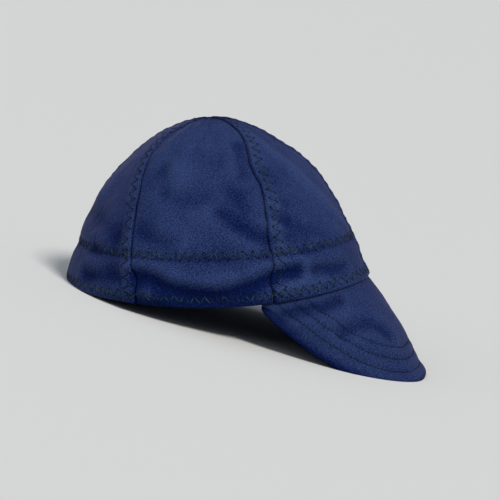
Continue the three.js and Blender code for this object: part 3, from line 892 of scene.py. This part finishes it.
band_mesh = sheet_mesh("band", BAND_GRID, band_place, (BAND_WEAVE_LENGTH, BAND_WIDTH))
band = new_piece("cloth_head_band", band_mesh, band_cloth, ["head_band"])

for ply, name in enumerate(("top", "under")):
    peak_weave = (PEAK_WEAVE_WIDTH, PEAK_DEPTH + PEAK_ALLOWANCE)
    mesh = sheet_mesh("peak_" + name, PEAK_GRID, peak_place(ply), peak_weave)
    piece = new_piece(f"cloth_peak_{name}_ply", mesh, peak_cloth, [f"peak_{name}_ply"])

# STITCHES
# Each thread's first colour is the painted shadow of its needle holes; its light one is partly painted
# glints.
seam_thread = spun_thread("green_grey_thread", hole_shade=(0.0008, 0.0015, 0.005),
                          dark=(0.0035, 0.009, 0.011), light=(0.031, 0.060, 0.040))
row_thread = spun_thread("lighter_green_grey_thread", hole_shade=(0.0008, 0.0015, 0.005),
                         dark=(0.006, 0.015, 0.014), light=(0.050, 0.092, 0.058))
peak_thread = spun_thread("dark_green_grey_thread", hole_shade=(0.0008, 0.0014, 0.004),
                          dark=(0.002, 0.005, 0.007), light=(0.016, 0.030, 0.024))


def on_gores(turn, along, out):
    """The outer face of whichever gore is there."""
    height = np.zeros_like(turn)
    bounds = seam_turns(along)
    turn = (turn - bounds[0]) % 360 + bounds[0]
    for index, name in enumerate(GORES):
        here = (turn >= bounds[index]) & (turn <= bounds[index + 1])
        height = np.where(here, gore_height(name, turn, along), height)
    return crown_point(turn, along, out + height)


def on_peak(ply):
    """The outer face of a ply: upward for the top one, and downward for the one under it."""
    face = -HEM_WALL - LAYER_GAP - ply * (2 * PEAK_WALL + PLIES_GAP)
    outward = 1 - 2 * ply
    return lambda share, down, out: peak_point(share, down, face + peak_height(share, down) + out * outward)


def zigzag(length, pitch, seed):
    """Places along a row and how far to either side each point of the zigzag is, sewn a little unevenly."""
    count = int(length / (pitch / 2))
    chance = np.random.RandomState(seed)
    turns = np.arange(count)
    swing = np.where(turns % 2 == 0, 1, -1) + chance.uniform(-UNEVEN_SWING, UNEVEN_SWING, count)
    return (turns + chance.uniform(-UNEVEN_STEP, UNEVEN_STEP, count)) * pitch / 2, swing


def seam_row(index, side, row):
    """The points of the zigzag beside one of a gore's two seams, 0 for its first and 1 for its second."""
    up, swing = zigzag(MERIDIAN * SEAM_ROW_LENGTH, SEAM_PITCH, index * 2 + side)
    up = up + SEAM_ROW_FROM
    along = up / MERIDIAN
    start, end = seam_turns(along)[index:index + 2]
    scale = across_per_degree((start + end) / 2, along)
    narrow = lap_share((end - start) * scale)
    inward = (SEAM_ROW_IN[row] + swing * ZIGZAG_HALF) * narrow / scale
    return np.stack([end - inward if side else start + inward, along], axis=-1)


def round_row(up, half, pitch):
    """The points of a zigzag round the crown."""
    step = 0.5  # degrees
    turns = np.linspace(0, 360, int(360 / step) + 1)
    middles = turns[:-1] + step / 2
    pieces = across_per_degree(middles, 0 * middles + up / MERIDIAN) * step
    lengths = np.concatenate([[0], np.cumsum(pieces)])
    places, swing = zigzag(lengths[-1], pitch, int(up))
    turn = np.interp(places, lengths, turns) + ROUND_ROW_FROM
    return np.stack([turn, (up + swing * half) / MERIDIAN], axis=-1)


def peak_row(row):
    """The points between the straight stitches of a row that far in from the peak's edge."""
    share = np.linspace(-1, 1, 801)
    down = peak_reach(share) - row / peak_slope(share)
    below_rim = down > PEAK_ROW_BELOW_RIM
    share, down = share[below_rim], down[below_rim]
    pieces = np.linalg.norm(np.diff(peak_surface(share, down), axis=0), axis=1)
    lengths = np.concatenate([[0], np.cumsum(pieces)])
    marks = np.arange(0, lengths[-1], PEAK_STITCH)
    return np.stack([np.interp(marks, lengths, share), np.interp(marks, lengths, down)], axis=-1)


def joined(rows, part=1):
    """Where the stitches of all the rows start and end; each takes that part of the way to the next point."""
    starts = np.concatenate([row[:-1] for row in rows])
    nexts = np.concatenate([row[1:] for row in rows])
    return starts, starts + (nexts - starts) * part


seam_rows = [seam_row(index, side, row) for index, name in enumerate(GORES)
             for side, row in enumerate(GORE_LAPS[name]) if row]
stitches("stitches_seams", *joined(seam_rows), on_gores, seam_thread, "crown")
band_row = round_row(BAND_ROW_UP, ZIGZAG_HALF, BAND_PITCH)
stitches("stitches_band_row", *joined([band_row]), on_gores, row_thread, "crown")
rim_row = round_row(RIM_ROW_UP, RIM_ZIGZAG_HALF, RIM_PITCH)
stitches("stitches_rim_row", *joined([rim_row]), on_gores, row_thread, "crown")
peak_rows = [peak_row(row) for row in PEAK_ROWS_IN]
for ply, name in enumerate(("top", "under")):
    starts, ends = joined(peak_rows, PEAK_STITCH_SHARE)
    stitches(f"stitches_peak_{name}", starts, ends, on_peak(ply), peak_thread, "peak",
             radius=PEAK_THREAD, flare=PEAK_FLARE)


# STAGE, LIGHT AND CAMERA
def pale_floor(half_size):
    mesh = bpy.data.meshes.new("floor")
    bm = bmesh.new()
    bmesh.ops.create_grid(bm, x_segments=1, y_segments=1, size=half_size)
    bm.to_mesh(mesh)
    bm.free()
    mesh.materials.append(plain("pale_floor", (0.62, 0.62, 0.61)))
    made = bpy.data.objects.new("floor", mesh)
    bpy.context.collection.objects.link(made)
    return made


def studio_air(colour, strength):
    """Even light from all round."""
    world = bpy.data.worlds.new("studio")
    bpy.context.scene.world = world
    world.use_nodes = True
    background = world.node_tree.nodes["Background"]
    background.inputs["Color"].default_value = opaque(colour)
    background.inputs["Strength"].default_value = strength


def soft_sun(name, toward, strength, spread, colour):
    """Light from that direction, even over the whole floor, its shadows softened by its spread in degrees."""
    lamp = bpy.data.lights.new(name, "SUN")
    lamp.energy, lamp.angle, lamp.color = strength, np.radians(spread), colour
    light = bpy.data.objects.new(name, lamp)
    bpy.context.collection.objects.link(light)
    light.rotation_euler = Vector(toward).to_track_quat("Z", "Y").to_euler()


def photograph_camera():
    """Looks from the photograph's side, in line with the upright cap, which is then leaned back with it."""
    above, toward_brow, tilt = np.radians((ABOVE, TOWARD_BROW, TILT))
    level_back = np.array([np.sin(toward_brow), -np.cos(toward_brow), 0])
    back = level_back * np.cos(above) + np.array([0, 0, np.sin(above)])
    right = np.array([np.cos(toward_brow), np.sin(toward_brow), 0])
    up = np.cross(back, right)
    right, up = right * np.cos(tilt) - up * np.sin(tilt), up * np.cos(tilt) + right * np.sin(tilt)
    middle_x, middle_y = RIM_MIDDLE_PIXEL
    aim = (right * (PICTURE / 2 - middle_x) + up * (middle_y - PICTURE / 2)) * MM_PER_PIXEL
    eye = leaned(back * SIGHT_DISTANCE) + RIM_MIDDLE
    target = leaned(aim) + RIM_MIDDLE
    sight = (target - eye) / np.linalg.norm(target - eye)
    across = np.cross(sight, leaned(up))
    across /= np.linalg.norm(across)
    axes = Matrix(np.stack([across, np.cross(across, sight), -sight], axis=-1).tolist())
    lens = bpy.data.cameras.new("camera")
    lens.sensor_width = SENSOR
    lens.lens = SENSOR * SIGHT_DISTANCE / (PICTURE * MM_PER_PIXEL)
    lens.clip_end = SIGHT_END
    made = bpy.data.objects.new("camera", lens)
    bpy.context.collection.objects.link(made)
    made.matrix_world = Matrix.Translation(Vector(eye / MM_PER_METRE)) @ axes.to_4x4()
    return made


floor = pale_floor(FLOOR_HALF)
studio_air(colour=(0.74, 0.87, 1.0), strength=0.22)
soft_sun("key", toward=(0.42, -0.58, 0.95), strength=2.75, spread=16, colour=(1.0, 0.965, 0.925))
soft_sun("fill", toward=(-0.75, -0.6, 0.8), strength=0.75, spread=60, colour=(0.9, 0.93, 1.0))
soft_sun("rim", toward=(-0.5, 0.35, 0.8), strength=0.35, spread=40, colour=(0.9, 0.93, 1.0))
bpy.context.scene.camera = photograph_camera()
bpy.context.scene.view_settings.view_transform = "Standard"
